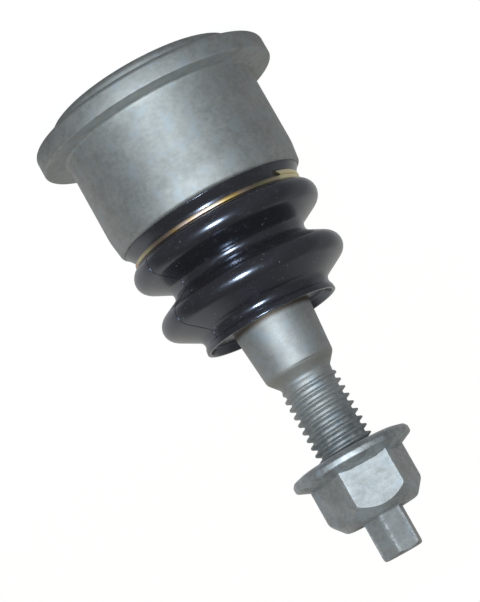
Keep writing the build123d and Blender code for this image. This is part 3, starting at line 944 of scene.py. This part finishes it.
def thread(mesh, low, high, radius, root, limit):
    """A right-hand helical thread between two heights, kept between the two radii of limit(height)."""
    first = floor_to_phase(low) - THREAD_PITCH
    turns = int((high - first) / THREAD_PITCH) + 2
    half = [(radius - depth, rise) for rise, depth in CREST_FORM]
    half += [(root + depth, rise) for rise, depth in ROOT_FORM]
    form = [(size, -rise) for size, rise in reversed(half)] + half
    before = set(mesh.verts)
    points = [mesh.verts.new((size * MM, 0, (first + rise) * MM)) for size, rise in form]
    edges = [mesh.edges.new(pair) for pair in zip(points, points[1:])]
    bmesh.ops.spin(
        mesh,
        geom=points + edges,
        cent=(0, 0, 0),
        axis=(0, 0, 1),
        dvec=(0, 0, THREAD_PITCH / THREAD_STEPS * MM),
        angle=2 * pi,
        steps=THREAD_STEPS,
    )
    turn = list({face for vert in mesh.verts if vert not in before for face in vert.link_faces})
    for number in range(1, turns):
        copied = bmesh.ops.duplicate(mesh, geom=turn)["geom"]
        moved = [item for item in copied if isinstance(item, bmesh.types.BMVert)]
        bmesh.ops.translate(mesh, verts=moved, vec=(0, 0, number * THREAD_PITCH * MM))
    made = [vert for vert in mesh.verts if vert not in before]
    bmesh.ops.remove_doubles(mesh, verts=made, dist=THREAD_WELD * MM)
    made = [vert for vert in mesh.verts if vert not in before]
    for end, way in ((low, -1), (high, 1)):
        faces = {face for vert in made if vert.is_valid for face in vert.link_faces}
        edges = {edge for face in faces for edge in face.edges}
        verts = {vert for face in faces for vert in face.verts}
        bmesh.ops.bisect_plane(
            mesh,
            geom=list(verts) + list(edges) + list(faces),
            dist=THREAD_CUT_TOLERANCE * MM,
            plane_co=(0, 0, end * MM),
            plane_no=(0, 0, way),
            clear_outer=True,
        )
        made = [vert for vert in mesh.verts if vert not in before]
    for vert in made:
        reached = hypot(vert.co.x, vert.co.y)
        lowest, highest = limit(vert.co.z / MM)
        allowed = min(max(reached, lowest * MM), highest * MM)
        vert.co.x *= allowed / reached
        vert.co.y *= allowed / reached
    return made


def floor_to_phase(height):
    """The highest thread crest at or under a height, on the side where the helix starts."""
    return THREAD_PHASE + THREAD_PITCH * int((height - THREAD_PHASE) / THREAD_PITCH)


def open_rim(mesh, height):
    """The open edges that lie in the plane of one height."""
    return [
        edge for edge in mesh.edges
        if edge.is_boundary and all(abs(vert.co.z - height * MM) < WELD * MM for vert in edge.verts)
    ]


# Ball stud
BALL_RADIUS = reach("ball_stud")
BALL_FLAT_RADIUS = 5.0
BALL_STEPS = 48
STUD_NECK_RADIUS = 7.2
NECK_BLEND = 1.5
NECK_BLEND_STEPS = 6
NECK_END = COLLAR_FOOT - 5.4
NECK_END_ROUNDING = 3.0
LAND_START = COLLAR_FOOT - 0.4
LAND_ROUNDING = 2.0
TAPER_RADIUS = mount("stud_taper")["dims"]["r_mm"]
TAPER_ROUNDING = 6.0
TAPER_END_RADIUS = TAPER_RADIUS - TAPER_LENGTH / 12
SHOULDER_DROP = 2.7
SHOULDER_ROUNDING = 2.0
SHOULDER_FOOT_ROUNDING = 1.3
UNDERCUT_RADIUS = 6.4
RUNOUT_LENGTH = 3.6
RUNOUT_CREST = 0.12
RUNOUT_SLOPE = 0.22
THREAD_START = TAPER_END + SHOULDER_DROP + 0.55
NUT_FOOT = foot("flange_nut")
NUT_TOP = top("flange_nut")
THREAD_END = NUT_TOP - 0.2
THREAD_CHAMFER = 1.0
DRIVE_FOOT = THREAD_END - 0.5
DRIVE_END = top("ball_stud")
DRIVE_ANGLE = 38.5
DRIVE_ROUNDING = 1.2
DRIVE_CORNER_WIDTH = 0.25
DRIVE_STEPS = 96


def make_stud():
    mesh = bmesh.new()
    flat_angle = -degrees(acos(BALL_FLAT_RADIUS / BALL_RADIUS))
    blend_angle = 90 - degrees(asin((STUD_NECK_RADIUS + NECK_BLEND) / (BALL_RADIUS + NECK_BLEND)))
    ball = arc((0, 0), BALL_RADIUS, flat_angle, blend_angle, BALL_STEPS)
    blend_height = sqrt((BALL_RADIUS + NECK_BLEND) ** 2 - (STUD_NECK_RADIUS + NECK_BLEND) ** 2)
    blend_centre = (STUD_NECK_RADIUS + NECK_BLEND, blend_height)
    ball += arc(blend_centre, NECK_BLEND, 180 + blend_angle, 180, NECK_BLEND_STEPS)[1:]
    # As in the boot, the corners that only lead in or out are dropped again
    shank = rounded([
        ball[-1][:],
        (STUD_NECK_RADIUS, NECK_END, NECK_END_ROUNDING),
        (TAPER_RADIUS, LAND_START, LAND_ROUNDING),
        (TAPER_RADIUS, TAPER_START, TAPER_ROUNDING),
        (TAPER_END_RADIUS, TAPER_END, SHOULDER_ROUNDING),
        (UNDERCUT_RADIUS, TAPER_END + SHOULDER_DROP, SHOULDER_FOOT_ROUNDING),
        (UNDERCUT_RADIUS, THREAD_START),
        (0, THREAD_START),
    ])[1:-1]
    spun(mesh, [Vector((0, ball[0].y))] + ball + shank, closed=False)

    def runout(height):
        """The thread's least and greatest radius: it fades in at the undercut and ends in a chamfer."""
        rise = height - THREAD_START
        end = THREAD_RADIUS - THREAD_CHAMFER + (THREAD_END - height)
        valley = UNDERCUT_RADIUS + (THREAD_ROOT - UNDERCUT_RADIUS) * min(rise / RUNOUT_LENGTH, 1)
        crest = UNDERCUT_RADIUS + RUNOUT_CREST + RUNOUT_SLOPE * rise
        return min(valley, end), min(crest, end, THREAD_RADIUS)

    thread(mesh, THREAD_START, THREAD_END, THREAD_RADIUS, THREAD_ROOT, runout)
    bmesh.ops.bridge_loops(mesh, edges=open_rim(mesh, THREAD_START))
    bmesh.ops.edgeloop_fill(mesh, edges=open_rim(mesh, THREAD_END))
    body = make_piece("stud_shank", mesh, stud_zinc, "stud", crease=38)

    mesh = bmesh.new()
    corner_radius = DRIVE_FLATS / sqrt(3)
    spun(mesh, rounded([
        (0, DRIVE_END),
        (corner_radius, DRIVE_END, DRIVE_ROUNDING),
        (corner_radius, DRIVE_FOOT),
        (0, DRIVE_FOOT),
    ]), closed=False, steps=DRIVE_STEPS)
    hexagon_cut(mesh, DRIVE_FLATS, DRIVE_ANGLE)
    bevel_corners(mesh, DRIVE_FLATS, DRIVE_CORNER_WIDTH)
    drive = make_piece("stud_drive", mesh, drive_zinc, "stud", crease=25)
    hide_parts("ball_stud")
    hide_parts("ball_stud")


# Flange nut
NUT_ANGLE = 50.2
NUT_FLANGE_RADIUS = 14.95
NUT_BEARING_RADIUS = 12.2
NUT_BEARING_ROUNDING = 0.3
NUT_EDGE_RADIUS = 14.4
NUT_EDGE_HEIGHT = 0.6
NUT_EDGE_ROUNDING = 0.7
NUT_RIM_LOW = 1.4
NUT_RIM_LOW_ROUNDING = 0.4
NUT_RIM_HIGH = 2.75
NUT_RIM_HIGH_ROUNDING = 0.7
NUT_NECK_RADIUS = 10.9
NUT_CONE_HEIGHT = 1.85
NUT_END_RADIUS = 9.1
NUT_END_CONE = 3.7
NUT_END_ROUNDING = 1.6
NUT_CORNER_ROUNDING = 2.0
NUT_CORNER_WIDTH = 0.6
NUT_BORE = 7.04
NUT_COUNTERSINK = 0.9
NUT_COUNTERSINK_ROUNDING = 0.15
NUT_STEPS = 120
# The hexagon starts this far above the nut's foot, inside the flange
HEXAGON_FOOT = 2.5


def make_nut():
    mesh = bmesh.new()
    corner_radius = NUT_FLATS / sqrt(3)
    spun(mesh, rounded([
        (NUT_BORE, NUT_FOOT + HEXAGON_FOOT),
        (corner_radius, NUT_FOOT + HEXAGON_FOOT),
        (corner_radius, NUT_TOP - NUT_END_CONE, NUT_CORNER_ROUNDING),
        (NUT_END_RADIUS, NUT_TOP, NUT_END_ROUNDING),
        (NUT_BORE + NUT_COUNTERSINK, NUT_TOP, NUT_COUNTERSINK_ROUNDING),
        (NUT_BORE, NUT_TOP - NUT_COUNTERSINK),
    ]), steps=NUT_STEPS)
    hexagon_cut(mesh, NUT_FLATS, NUT_ANGLE)
    bevel_corners(mesh, NUT_FLATS, NUT_CORNER_WIDTH)
    hexagon = make_piece("nut_hexagon", mesh, nut_zinc, "nut", crease=25)

    mesh = bmesh.new()
    spun(mesh, rounded([
        (NUT_BORE, NUT_FOOT + NUT_COUNTERSINK),
        (NUT_BORE + NUT_COUNTERSINK, NUT_FOOT, NUT_COUNTERSINK_ROUNDING),
        (NUT_BEARING_RADIUS, NUT_FOOT, NUT_BEARING_ROUNDING),
        (NUT_EDGE_RADIUS, NUT_FOOT + NUT_EDGE_HEIGHT, NUT_EDGE_ROUNDING),
        (NUT_FLANGE_RADIUS, NUT_FOOT + NUT_RIM_LOW, NUT_RIM_LOW_ROUNDING),
        (NUT_FLANGE_RADIUS, NUT_FOOT + NUT_RIM_HIGH, NUT_RIM_HIGH_ROUNDING),
        (NUT_NECK_RADIUS, NUT_FOOT + NUT_RIM_HIGH + NUT_CONE_HEIGHT),
        (NUT_BORE, NUT_FOOT + NUT_RIM_HIGH + NUT_CONE_HEIGHT),
    ]))
    flange = make_piece("nut_flange", mesh, rim_zinc, "nut", crease=32)
    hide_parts("flange_nut")
    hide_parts("flange_nut")


make_housing()
make_boot()
make_clamp_ring()
make_stud()
make_nut()

# Solids that keep their own shape and only take a finish
CAD_FINISHES = {
    "cover_plate": cover_zinc,
    "disc_spring": dark_steel,
    "thrust_plate": dark_steel,
    "seat_lower": white_acetal,
    "seat_upper": white_acetal,
    "boot_end_ring": dark_steel,
}
for node, finish in CAD_FINISHES.items():
    data = frame["nodes"][node].data
    data.materials.clear()
    data.materials.append(finish)
